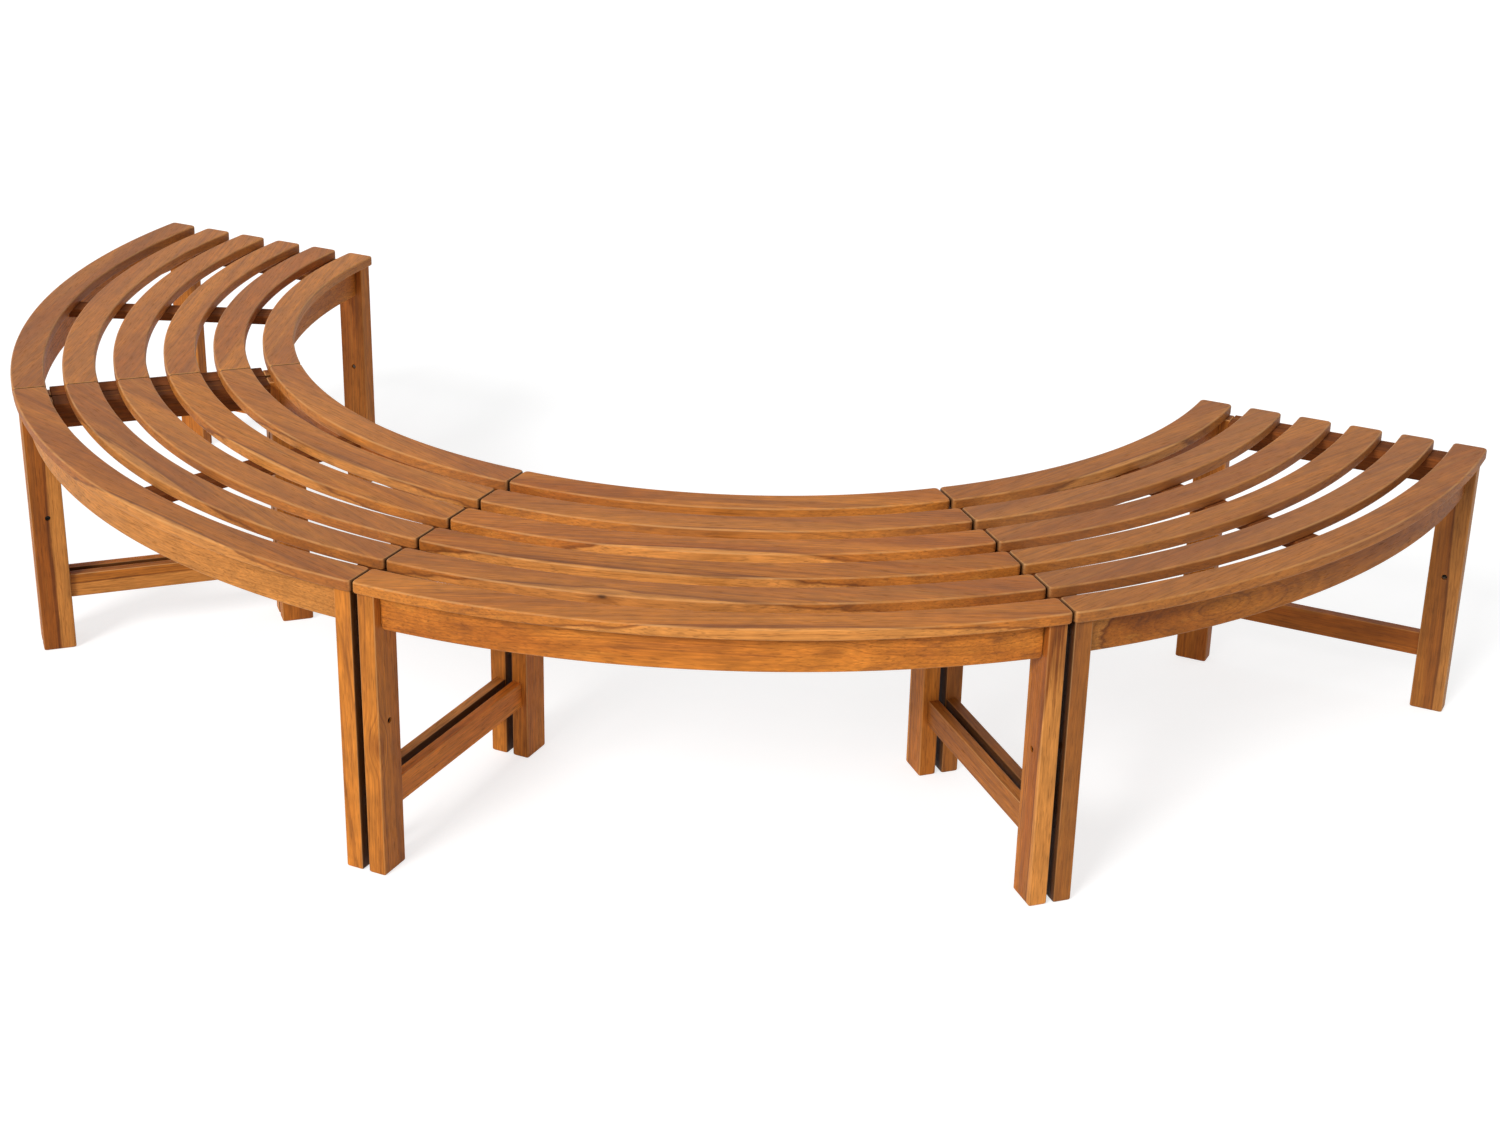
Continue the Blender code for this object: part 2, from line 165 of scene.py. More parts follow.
def teak(name, early_wood, late_wood, sapwood, roughness):
    """Plantation teak, in the given colours and with the roughness that its finish gives it.

    Golden brown heartwood, each ring darker towards its late wood, honey coloured sapwood, fine
    dark pores, and a weak satin sheen, with painted shade on the faces turned to the next segment,
    and pale arrises that are partly worn and partly painted highlight. Patterns are scaled in cells
    per metre, along the trunk and then across it.
    """
    material = bpy.data.materials.new(name)
    material.use_nodes = True
    tree = material.node_tree
    shader = tree.nodes["Principled BSDF"]

    place = add_node(tree, "ShaderNodeAttribute", output="Vector", attribute_name="log_place")
    from_knot = add_node(tree, "ShaderNodeAttribute", output="Vector", attribute_name="from_knot")
    look = add_node(tree, "ShaderNodeAttribute", output="Vector", attribute_name="board_look")
    surface = add_node(tree, "ShaderNodeAttribute", output="Vector", attribute_name="wear_and_painted_light")
    along = add_node(tree, "ShaderNodeSeparateXYZ", {0: place}, "X")
    tone = add_node(tree, "ShaderNodeSeparateXYZ", {0: look}, "X")
    sap_radius = add_node(tree, "ShaderNodeSeparateXYZ", {0: look}, "Y")
    grey = add_node(tree, "ShaderNodeSeparateXYZ", {0: look}, "Z")
    arris = add_node(tree, "ShaderNodeSeparateXYZ", {0: surface}, "X")
    end_grain = add_node(tree, "ShaderNodeSeparateXYZ", {0: surface}, "Y")
    gap_shaded = add_node(tree, "ShaderNodeSeparateXYZ", {0: surface}, "Z")

    # The trunk isn't a perfect cylinder: its rings wander a few millimetres over an arm's length,
    # and bend round a knot.
    wander_scale = (1.6, 9, 9)
    wander_reach = 0.020
    knot_reach = 0.030
    knot_swell = 0.014
    scaled = add_node(tree, "ShaderNodeVectorMath", {0: place, 1: wander_scale}, operation="MULTIPLY")
    wander = add_node(tree, "ShaderNodeTexNoise", {"Vector": scaled, "Scale": 1, "Detail": 1.5}, "Color")
    wander = add_node(tree, "ShaderNodeVectorMath", {0: wander, 1: (0.5, 0.5, 0.5)}, operation="SUBTRACT")
    bent = add_node(
        tree, "ShaderNodeVectorMath", {0: wander, 1: (0, wander_reach, wander_reach), 2: place},
        operation="MULTIPLY_ADD",
    )
    bent = add_node(tree, "ShaderNodeVectorMath", {0: bent, 1: (0, 1, 1)}, operation="MULTIPLY")
    radius = add_node(tree, "ShaderNodeVectorMath", {0: bent}, "Value", operation="LENGTH")
    scaled = add_node(tree, "ShaderNodeVectorMath", {0: from_knot, 1: (0.5, 1, 1)}, operation="MULTIPLY")
    to_knot = add_node(tree, "ShaderNodeVectorMath", {0: scaled}, "Value", operation="LENGTH")
    swell = add_node(
        tree, "ShaderNodeMapRange",
        {"Value": to_knot, "From Min": knot_reach, "From Max": 0.0, "To Min": 0.0, "To Max": knot_swell},
        interpolation_type="SMOOTHSTEP",
    )
    radius = add_node(tree, "ShaderNodeMath", {0: radius, 1: swell}, operation="ADD")

    # Growth rings, about 5.5 mm apart and never quite even. Each darkens towards its late wood, and
    # finer lines of pores 1 to 2 mm apart run along with them.
    ring_width = 0.0055
    uneven_scale = (0.7, 24, 24)
    lines_per_metre = 560
    scaled = add_node(tree, "ShaderNodeVectorMath", {0: place, 1: uneven_scale}, operation="MULTIPLY")
    uneven = add_node(tree, "ShaderNodeTexNoise", {"Vector": scaled, "Scale": 1, "Detail": 1})
    uneven = add_node(tree, "ShaderNodeMath", {0: uneven, 1: 1.8}, operation="MULTIPLY")
    rings = add_node(
        tree, "ShaderNodeMath", {0: radius, 1: 1 / ring_width, 2: uneven}, operation="MULTIPLY_ADD"
    )
    share = add_node(tree, "ShaderNodeMath", {0: rings}, operation="FRACT")
    ring_number = add_node(tree, "ShaderNodeMath", {0: rings}, operation="FLOOR")
    weight = add_node(tree, "ShaderNodeTexWhiteNoise", {"W": ring_number}, noise_dimensions="1D")
    weight = add_node(tree, "ShaderNodeMath", {0: weight, 1: 2}, operation="POWER")
    weight = add_node(tree, "ShaderNodeMath", {0: weight, 1: 0.80, 2: 0.12}, operation="MULTIPLY_ADD")
    darker = add_node(
        tree, "ShaderNodeMapRange", {"Value": share, "From Min": 0.45, "From Max": 0.92},
        interpolation_type="SMOOTHSTEP",
    )
    closing = add_node(
        tree, "ShaderNodeMapRange", {"Value": share, "From Min": 1.0, "From Max": 0.94},
        interpolation_type="SMOOTHSTEP",
    )
    late = add_node(tree, "ShaderNodeMath", {0: darker, 1: closing}, operation="MULTIPLY")
    late = add_node(tree, "ShaderNodeMath", {0: late, 1: weight}, operation="MULTIPLY")
    line_along = add_node(tree, "ShaderNodeMath", {0: along, 1: 1.4}, operation="MULTIPLY")
    line_out = add_node(tree, "ShaderNodeMath", {0: radius, 1: lines_per_metre}, operation="MULTIPLY")
    scaled = add_node(tree, "ShaderNodeCombineXYZ", {"X": line_along, "Y": line_out})
    line = add_node(tree, "ShaderNodeTexNoise", {"Vector": scaled, "Scale": 1, "Detail": 3})

    # Fibres, streaks, mottling and broad changes of tone, and pores. Real pores are 0.3 mm wide and
    # would vanish in the picture, so they are drawn as dashes about 1.5 mm wide.
    fibre_scale = (22, 420, 420)
    streak_scale = (2.4, 95, 95)
    broad_scale = (1.3, 15, 15)
    pore_scale = (45, 620, 620)
    mottle_scale = (24, 60, 60)
    scaled = add_node(tree, "ShaderNodeVectorMath", {0: place, 1: fibre_scale}, operation="MULTIPLY")
    fibre = add_node(tree, "ShaderNodeTexNoise", {"Vector": scaled, "Scale": 1, "Detail": 3})
    scaled = add_node(tree, "ShaderNodeVectorMath", {0: place, 1: streak_scale}, operation="MULTIPLY")
    streak = add_node(tree, "ShaderNodeTexNoise", {"Vector": scaled, "Scale": 1, "Detail": 3})
    scaled = add_node(tree, "ShaderNodeVectorMath", {0: place, 1: broad_scale}, operation="MULTIPLY")
    broad = add_node(tree, "ShaderNodeTexNoise", {"Vector": scaled, "Scale": 1, "Detail": 2})
    scaled = add_node(tree, "ShaderNodeVectorMath", {0: place, 1: pore_scale}, operation="MULTIPLY")
    pore = add_node(tree, "ShaderNodeTexNoise", {"Vector": scaled, "Scale": 1, "Detail": 1})
    pore = add_node(tree, "ShaderNodeMapRange", {"Value": pore, "From Min": 0.58, "From Max": 0.70})
    scaled = add_node(tree, "ShaderNodeVectorMath", {0: place, 1: mottle_scale}, operation="MULTIPLY")
    mottle = add_node(tree, "ShaderNodeTexNoise", {"Vector": scaled, "Scale": 1, "Detail": 4})

    # Heartwood. Its colour drifts in broad soft patches, with darker and lighter streaks in them.
    late_line = linear("7E4417")
    dark_streak = linear("784220")
    light_streak = linear("D08A38")
    patch = add_node(
        tree, "ShaderNodeMapRange", {"Value": broad, "From Min": 0.30, "From Max": 0.72},
        interpolation_type="SMOOTHSTEP",
    )
    heartwood = add_node(
        tree, "ShaderNodeMix", {0: patch, 6: early_wood, 7: late_wood}, 2, data_type="RGBA"
    )
    amount = add_node(tree, "ShaderNodeMath", {0: late, 1: 0.52}, operation="MULTIPLY")
    heartwood = add_node(
        tree, "ShaderNodeMix", {0: amount, 6: heartwood, 7: late_line}, 2, data_type="RGBA"
    )
    amount = add_node(
        tree, "ShaderNodeMapRange", {"Value": streak, "From Min": 0.52, "From Max": 0.74, "To Max": 0.50},
        interpolation_type="SMOOTHSTEP",
    )
    heartwood = add_node(
        tree, "ShaderNodeMix", {0: amount, 6: heartwood, 7: dark_streak}, 2, data_type="RGBA"
    )
    amount = add_node(
        tree, "ShaderNodeMapRange", {"Value": streak, "From Min": 0.45, "From Max": 0.20, "To Max": 0.40},
        interpolation_type="SMOOTHSTEP",
    )
    heartwood = add_node(
        tree, "ShaderNodeMix", {0: amount, 6: heartwood, 7: light_streak}, 2, data_type="RGBA"
    )

    # Sapwood begins along an uneven line, which the heartwood edges with a dark stain.
    stain_width = 0.0045
    stain_colour = linear("683310")
    pale_late_line = linear("AE6826")
    uneven = add_node(tree, "ShaderNodeMath", {0: broad, 1: 0.022, 2: -0.014}, operation="MULTIPLY_ADD")
    uneven = add_node(tree, "ShaderNodeMath", {0: streak, 1: 0.012, 2: uneven}, operation="MULTIPLY_ADD")
    into_sap = add_node(tree, "ShaderNodeMath", {0: radius, 1: sap_radius}, operation="SUBTRACT")
    into_sap = add_node(tree, "ShaderNodeMath", {0: into_sap, 1: uneven}, operation="ADD")
    sap = add_node(tree, "ShaderNodeMapRange", {"Value": into_sap, "From Min": -0.0005, "From Max": 0.002})
    stain = add_node(
        tree, "ShaderNodeMapRange",
        {"Value": into_sap, "From Min": -stain_width, "From Max": 0.0, "To Min": 0.0, "To Max": 0.70},
        interpolation_type="SMOOTHERSTEP",
    )
    heartwood = add_node(
        tree, "ShaderNodeMix", {0: stain, 6: heartwood, 7: stain_colour}, 2, data_type="RGBA"
    )
    amount = add_node(tree, "ShaderNodeMath", {0: late, 1: 0.60}, operation="MULTIPLY")
    pale = add_node(
        tree, "ShaderNodeMix", {0: amount, 6: sapwood, 7: pale_late_line}, 2, data_type="RGBA"
    )
    tint = add_node(tree, "ShaderNodeMix", {0: sap, 6: heartwood, 7: pale}, 2, data_type="RGBA")

    # Fine lines, fibres, mottling and the board's own tone lighten or darken all of it together.
    # The first three stay close to 1 on average.
    gain = add_node(tree, "ShaderNodeMath", {0: line, 1: 0.42, 2: 0.79}, operation="MULTIPLY_ADD")
    fine = add_node(tree, "ShaderNodeMath", {0: fibre, 1: 0.90, 2: 0.55}, operation="MULTIPLY_ADD")
    gain = add_node(tree, "ShaderNodeMath", {0: gain, 1: fine}, operation="MULTIPLY")
    soft = add_node(tree, "ShaderNodeMath", {0: mottle, 1: 0.80, 2: 0.60}, operation="MULTIPLY_ADD")
    gain = add_node(tree, "ShaderNodeMath", {0: gain, 1: soft}, operation="MULTIPLY")
    gain = add_node(tree, "ShaderNodeMath", {0: gain, 1: tone}, operation="MULTIPLY")
    tint = add_node(tree, "ShaderNodeVectorMath", {0: tint, "Scale": gain}, operation="SCALE")

    # Pores and knots are dark, and a board that has stood outside has a veil of grey.
    pore_colour = linear("552B10")
    knot_ring_colour = linear("73380F")
    knot_core_colour = linear("35190B")
    weathered_colour = linear("9A6E4A")
    amount = add_node(tree, "ShaderNodeMath", {0: pore, 1: 0.35}, operation="MULTIPLY")
    tint = add_node(tree, "ShaderNodeMix", {0: amount, 6: tint, 7: pore_colour}, 2, data_type="RGBA")
    amount = add_node(
        tree, "ShaderNodeMapRange",
        {"Value": to_knot, "From Min": 0.014, "From Max": 0.004, "To Min": 0.0, "To Max": 0.60},
    )
    tint = add_node(tree, "ShaderNodeMix", {0: amount, 6: tint, 7: knot_ring_colour}, 2, data_type="RGBA")
    amount = add_node(
        tree, "ShaderNodeMapRange",
        {"Value": to_knot, "From Min": 0.005, "From Max": 0.003, "To Min": 0.0, "To Max": 0.9},
    )
    tint = add_node(tree, "ShaderNodeMix", {0: amount, 6: tint, 7: knot_core_colour}, 2, data_type="RGBA")
    tint = add_node(tree, "ShaderNodeMix", {0: grey, 6: tint, 7: weathered_colour}, 2, data_type="RGBA")

    # End grain soaks up oil and goes darker. Arrises are paler here and there, partly rubbed wear
    # and partly painted highlight. The faces that stand close to the next segment get painted shade,
    # a very dark brown.
    end_grain_colour = linear("6B3B18")
    rubbed_and_highlight_colour = linear("E2AC70")
    painted_gap_shade_colour = linear("2E1608")
    amount = add_node(tree, "ShaderNodeMath", {0: end_grain, 1: 0.60}, operation="MULTIPLY")
    tint = add_node(tree, "ShaderNodeMix", {0: amount, 6: tint, 7: end_grain_colour}, 2, data_type="RGBA")
    rubbed_and_highlit = add_node(
        tree, "ShaderNodeMapRange",
        {"Value": streak, "From Min": 0.40, "From Max": 0.60, "To Min": 0.30, "To Max": 0.70},
    )
    rubbed_and_highlit = add_node(tree, "ShaderNodeMath", {0: rubbed_and_highlit, 1: arris}, operation="MULTIPLY", use_clamp=True)
    tint = add_node(tree, "ShaderNodeMix", {0: rubbed_and_highlit, 6: tint, 7: rubbed_and_highlight_colour}, 2, data_type="RGBA")
    amount = add_node(tree, "ShaderNodeMath", {0: gap_shaded, 1: 0.76}, operation="MULTIPLY")
    tint = add_node(tree, "ShaderNodeMix", {0: amount, 6: tint, 7: painted_gap_shade_colour}, 2, data_type="RGBA")
    tree.links.new(tint, shader.inputs["Base Color"])

    # Open pores break up the thin film of oil, so it shines less than a closed film of varnish.
    gloss = add_node(
        tree, "ShaderNodeMath", {0: fibre, 1: 0.16, 2: roughness - 0.08}, operation="MULTIPLY_ADD"
    )
    gloss = add_node(tree, "ShaderNodeMath", {0: pore, 1: 0.15, 2: gloss}, operation="MULTIPLY_ADD")
    tree.links.new(gloss, shader.inputs["Roughness"])
    shader.inputs["IOR"].default_value = 1.40
    shader.inputs["Specular IOR Level"].default_value = 0.30

    height = add_node(tree, "ShaderNodeMath", {0: line, 1: 0.8, 2: fibre}, operation="MULTIPLY_ADD")
    height = add_node(tree, "ShaderNodeMath", {0: pore, 1: -0.9, 2: height}, operation="MULTIPLY_ADD")
    relief = add_node(tree, "ShaderNodeBump", {"Strength": 0.4, "Distance": 0.0005, "Height": height})
    tree.links.new(relief, shader.inputs["Normal"])
    return material


# Sanded along the grain and oiled once, which makes it warm and gives it a soft satin sheen.
oiled_teak = teak("teak_sanded_and_oiled", linear("C97A2B"), linear("A65B1C"), linear("D48A40"), 0.55)


# Seat slats. Six concentric boards to a segment, band-sawn to their curve from wide planks, so the
# grain runs straight through the bend. All arrises are rounded over with a router.
slat_count = 6
slat_width = 0.0525
slat_gap = 0.029
slat_thickness = 0.017
slat_rounding = 0.003
slat_corner = 0.0075
# Pale arrises, upper and lower: partly rubbed wear, partly painted highlight, most at the ends.
slat_wear_and_highlight = (0.6, 0.2)
end_wear_and_highlight = 1.6
rounding_steps = 4
corner_steps = 5
bend_steps = 48
sharp_angle = radians(40)


def finished(name, bm):
    """The finished mesh of what bm holds. bm is freed."""
    mesh = bpy.data.meshes.new(name)
    bm.to_mesh(mesh)
    bm.free()
    return mesh


def board_mesh(name, x, y, z, rounding, bends=1, bottom_corner=0.0, plan_corner=0.0, foot=0.0):
    """A straight board with rounded arrises, its long side along Y.

    bends is how many stretches the long side is cut into. bottom_corner rounds the two lower
    corners of its long face, plan_corner its upright corners, and foot the arrises it stands on.
    """
    stations = [(y[0] + (y[1] - y[0]) * share / bends, z[0]) for share in range(bends + 1)]
    if bottom_corner:
        turns = [pi / 2 * share / corner_steps for share in range(corner_steps + 1)]
        corner = [(bottom_corner * (1 - cos(turn)), bottom_corner * (1 - sin(turn))) for turn in turns]
        clear = 2 * bottom_corner
        stations = (
            [(y[0] + along, z[0] + rise) for along, rise in corner]
            + [station for station in stations if y[0] + clear < station[0] < y[1] - clear]
            + [(y[1] - along, z[0] + rise) for along, rise in reversed(corner)]
        )
    bm = bmesh.new()
    sections = []
    for along, bottom in stations:
        outline = ((x[0], bottom), (x[1], bottom), (x[1], z[1]), (x[0], z[1]))
        sections.append([bm.verts.new((across, along, height)) for across, height in outline])
    for section, following in zip(sections, sections[1:]):
        for side in range(4):
            after = (side + 1) % 4
            bm.faces.new((section[side], section[after], following[after], following[side]))
    bm.faces.new(sections[0])
    bm.faces.new(sections[-1])
    bmesh.ops.recalc_face_normals(bm, faces=bm.faces)
    corners = [edge for edge in bm.edges if edge.calc_face_angle() > sharp_angle]
    upright = [edge for edge in corners if abs(edge.verts[0].co.z - edge.verts[1].co.z) > rounding]
    floor_level = 1e-6
    standing = [edge for edge in bm.edges if edge.verts[0].co.z + edge.verts[1].co.z < floor_level]
    for edges, offset in ((upright, plan_corner), (standing, foot)):
        if offset:
            bmesh.ops.bevel(
                bm, geom=edges, offset=offset, segments=rounding_steps, profile=0.5, affect="EDGES"
            )
    arrises = [edge for edge in bm.edges if edge.calc_face_angle() > sharp_angle]
    bmesh.ops.bevel(
        bm, geom=arrises, offset=rounding, segments=rounding_steps, profile=0.5, affect="EDGES"
    )
    return finished(name, bm)


def mark_wear_and_painted_light(mesh, box, rounding, long_axis, rubbed_and_highlit, gap_shaded=(), corner=0.0):
    """Marks on a straight board how pale its arrises are, its end grain, and its faces in painted shade.

    box is its limits on the three axes. rubbed_and_highlit is how pale its upper and its lower
    arrises are, partly worn and partly painted highlight, those round its ends the most. gap_shaded
    holds the places on Y of the faces that are turned to the next segment, which get painted shade.
    corner is the rounding of its upright corners, seen from above.
    """
    on_the_face = 0.01
    marks = mesh.attributes.new("wear_and_painted_light", "FLOAT_VECTOR", "POINT")
    half_height = sum(box[2]) / 2
    for index, vertex in enumerate(mesh.vertices):
        gaps = [min(value - limits[0], limits[1] - value) for value, limits in zip(vertex.co, box)]
        if max(gaps[:2]) < corner:
            gaps[0] = corner - hypot(corner - gaps[0], corner - gaps[1])
        depths = [min(1.0, gap / rounding) for gap in gaps]
        near_one, near_two, _ = sorted(depths)
        worn_and_highlit = rubbed_and_highlit[0] if vertex.co.z > half_height else rubbed_and_highlit[1]
        worn_and_highlit *= min(1.0, 2 * (1 - near_one) * (1 - near_two))
        if depths[long_axis] < 1:
            worn_and_highlit *= end_wear_and_highlight
        in_gap_shade = any(abs(vertex.co.y - place) < rounding / 2 for place in gap_shaded)
        marks.data[index].vector = (worn_and_highlit, float(depths[long_axis] < on_the_face), float(in_gap_shade))


def bend_to_ring(mesh, length, end_gap):
    """Bends a straight board round the ring's centre, its ends cut along the two joint lines.

    X is the radius, and Y runs from 0 to length. end_gap is the distance kept to each joint line.
    """
    for vertex in mesh.vertices:
        radius, along, height = vertex.co
        margin = asin(end_gap / radius)
        angle = margin + (segment_angle - 2 * margin) * along / length
        vertex.co = (radius * cos(angle), radius * sin(angle), height)


def put_in_place(name, mesh, turn, material, replaced=()):
    """Makes a piece of a mesh that is laid out from a joint line, and turns it to its place."""
    mesh.transform(Matrix.Translation(ring_centre) @ Matrix.Rotation(turn, 4, "Z"))
    mesh.shade_smooth()
    mesh.set_sharp_from_angle(angle=sharp_angle)
    mesh.materials.append(material)
    piece = bpy.data.objects.new(name, mesh)
    bpy.context.collection.objects.link(piece)
    even_light = piece.modifiers.new("even_light", "WEIGHTED_NORMAL")
    even_light.keep_sharp = True
    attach(piece, "root")
    if replaced:
        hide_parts(*replaced)


def pale_edge(middle, peak, depth):
    """A slat whose lower outer edge reaches into the sapwood, for a stretch of its length.

    peak is the middle of that stretch along the slat, and depth is how far the sapwood reaches in
    under the slat there. It ends at the upper arris.
    """
    heart_above = 0.300
    arris_margin = 0.001
    half = slat_thickness / 2
    out = (depth ** 2 + 4 * heart_above * half) / (2 * depth)
    edge = slat_width / 2 + peak ** 2 / (2 * middle)
    sapwood = hypot(out, heart_above - half) - arris_margin
    return {"heart": (edge - out, heart_above), "sapwood": sapwood, "slope": (-peak / middle, 0)}


# A board's place in its log is measured from its middle, outward and along the segment.
middle_out = Vector((cos(segment_angle / 2), sin(segment_angle / 2), 0))
middle_along = Vector((-sin(segment_angle / 2), cos(segment_angle / 2), 0))

# Slats that were sawn close to the bark: the middle of the pale stretch along the slat's lower
# edge, and how far it reaches in.
pale_edges = {
    "segment_3_slat_6": (0.110, 0.034),
    "segment_3_slat_5": (-0.11, 0.045),
    "segment_3_slat_4": (-0.10, 0.034),
    "segment_3_slat_3": (0.00, 0.014),
    "segment_2_slat_6": (0.12, 0.020),
    "segment_2_slat_5": (-0.05, 0.030),
    "segment_2_slat_3": (0.05, 0.025),
    "segment_2_slat_2": (0.10, 0.030),
    "segment_4_slat_1": (0.00, 0.012),
}
slat_knots = {"segment_3_slat_5": (-0.145, 0.020, 0.005)}

# How weathered and how light the slats of each segment are, and the few that stand out from them.
segment_greys = (0.20, 0.12, 0.07, 0.22)
segment_tones = (1.05, 1.0, 1.04, 0.86)
slat_tones = {
    "segment_1_slat_3": 1.12,
    "segment_1_slat_6": 0.88,
    "segment_3_slat_5": 0.98,
    "segment_3_slat_6": 1.05,
}

for number in range(1, segment_count + 1):
    for count in range(1, slat_count + 1):
        node = f"segment_{number}_slat_{count}"
        chance = Random(node)
        inner = outer_radius - slat_width - (slat_count - count) * (slat_width + slat_gap)
        middle = inner + slat_width / 2
        length = middle * segment_angle
        box = (inner, inner + slat_width), (0.0, length), (seat_height - slat_thickness, seat_height)
        mesh = board_mesh(node + "_board", *box, slat_rounding, bend_steps, plan_corner=slat_corner)
        # End faces that meet the next segment are given painted shade.
        gap_shaded = []
        if number > 1:
            gap_shaded.append(0.0)
        if number < segment_count:
            gap_shaded.append(length)
        mark_wear_and_painted_light(mesh, box, slat_rounding, 1, slat_wear_and_highlight, gap_shaded, slat_corner)
        bend_to_ring(mesh, length, joint_seam / 2)
        centre = middle_out * middle + Vector((0, 0, seat_height - slat_thickness / 2))
        figure = {
            "heart": (chance.uniform(-0.12, 0.0), chance.choice((-1, 1)) * chance.uniform(0.03, 0.09)),
            "sapwood": chance.uniform(0.12, 0.24),
            "slope": (chance.uniform(-0.03, 0.03), chance.uniform(-0.01, 0.01)),
            "grey": chance.uniform(0.0, 0.15) + segment_greys[number - 1],
            "tone": chance.uniform(*usual_tones) * segment_tones[number - 1],
        }
        figure["tone"] = slat_tones.get(node, figure["tone"])
        if node in pale_edges:
            figure.update(pale_edge(middle, *pale_edges[node]))
        figure["knot"] = slat_knots.get(node)
        sawn_from_log(mesh, node, centre, middle_along, middle_out, **figure)
        put_in_place(node + "_board", mesh, first_turn(number), oiled_teak, [node])


# Aprons. Two curved boards to a segment stand on edge under the outermost and the innermost slat,
# tenoned into the legs. They are sawn like the slats, so wide figures show on their faces.
leg_width = 0.052
leg_inset = 0.007
leg_far = 0.032
support_top = seat_height - slat_thickness - fitting_gap
apron_thickness = 0.022
apron_height = 0.055
apron_setback = 0.0135
apron_rounding = 0.003
apron_corner = 0.005
apron_wear_and_highlight = (0.0, 0.3)
inner_radius = outer_radius - slat_count * slat_width - (slat_count - 1) * slat_gap
outer_leg = (outer_radius - leg_inset - leg_width, outer_radius - leg_inset)
inner_leg = (inner_radius + leg_inset, inner_radius + leg_inset + leg_width)
outer_apron = (outer_leg[1] - apron_setback - apron_thickness, outer_leg[1] - apron_setback)
inner_apron = (inner_leg[0] + apron_setback, inner_leg[0] + apron_setback + apron_thickness)

# The second outer apron is all sapwood, the third has a small knot, and the fourth shows arches.
apron_figures = {
    "segment_2_outer_apron": {"heart": (-0.04, -0.090), "sapwood": 0.05, "tone": 0.80},
    "segment_3_outer_apron": {
        "heart": (-0.05, 0.080),
        "sapwood": 0.30,
        "slope": (0.02, 0.0),
        "knot": (0.16, -0.008, 0.002),
        "tone": 1.08,
    },
    "segment_4_outer_apron": {
        "heart": (-0.0346, 0.0),
        "sapwood": 0.068,
        "slope": (-0.08, 0.0),
        "tone": 0.73,
    },
}

for number in range(1, segment_count + 1):
    for row, radii in (("outer", outer_apron), ("inner", inner_apron)):
        node = f"segment_{number}_{row}_apron"
        chance = Random(node)
        middle = sum(radii) / 2
        length = middle * segment_angle - 2 * leg_far
        box = radii, (0.0, length), (support_top - apron_height, support_top)
        mesh = board_mesh(node + "_board", *box, apron_rounding, bend_steps, bottom_corner=apron_corner)
        mark_wear_and_painted_light(mesh, box, apron_rounding, 1, apron_wear_and_highlight)
        bend_to_ring(mesh, length, leg_far + fitting_gap)
        centre = middle_out * middle + Vector((0, 0, support_top - apron_height / 2))
        figure = {
            "heart": (chance.uniform(-0.05, 0.03), chance.choice((-1, 1)) * chance.uniform(0.06, 0.11)),
            "sapwood": chance.uniform(0.16, 0.26),
            "slope": (chance.uniform(-0.03, 0.03), chance.uniform(-0.02, 0.02)),
        }
        figure.update(apron_figures.get(node, {}))
        sawn_from_log(mesh, node, centre, middle_along, middle_out, **figure)
        put_in_place(node + "_board", mesh, first_turn(number), oiled_teak, [node])


# Legs. Straight posts, their wide side along the radius, drilled through for the connecting bolts.
# They stand in pairs back to back at a joint, with a narrow gap between the pair.
leg_near = 0.005
leg_rounding = 0.002
leg_wear_and_highlight = (0.6, 0.6)
foot_rounding = 0.0035
hole_height = 0.235
hole_diameter = 0.009
hole_sides = 32


def leg_mesh(name, x, side):
    """A leg on the left (1) or right (-1) side of its joint line, with the bolt hole cut through."""
    y = sorted((side * leg_near, side * leg_far))
    blank = board_mesh(name, x, y, (0.0, support_top), leg_rounding, foot=foot_rounding)
    bm = bmesh.new()
    bmesh.ops.create_cone(
        bm, cap_ends=True, segments=hole_sides,
        radius1=hole_diameter / 2, radius2=hole_diameter / 2, depth=leg_far,
        matrix=Matrix.Translation((sum(x) / 2, sum(y) / 2, hole_height)) @ Matrix.Rotation(pi / 2, 4, "X"),
    )
    body = bpy.data.objects.new("body", blank)
    drill = bpy.data.objects.new("drill", finished("drill", bm))
    bpy.context.collection.objects.link(body)
    bpy.context.collection.objects.link(drill)
    cut = body.modifiers.new("hole", "BOOLEAN")
    cut.operation = "DIFFERENCE"
    cut.object = drill
    mesh = bpy.data.meshes.new_from_object(body.evaluated_get(bpy.context.evaluated_depsgraph_get()))
    bpy.data.objects.remove(body)
    bpy.data.objects.remove(drill)
    mesh.name = name
    return mesh


up = Vector((0, 0, 1))
outward = Vector((1, 0, 0))

# At each end of a segment: the side of the joint line that it lies on, and how far on that line is.
ends = {"left": (1, 0.0), "right": (-1, segment_angle)}
open_ends = ((1, "left"), (segment_count, "right"))

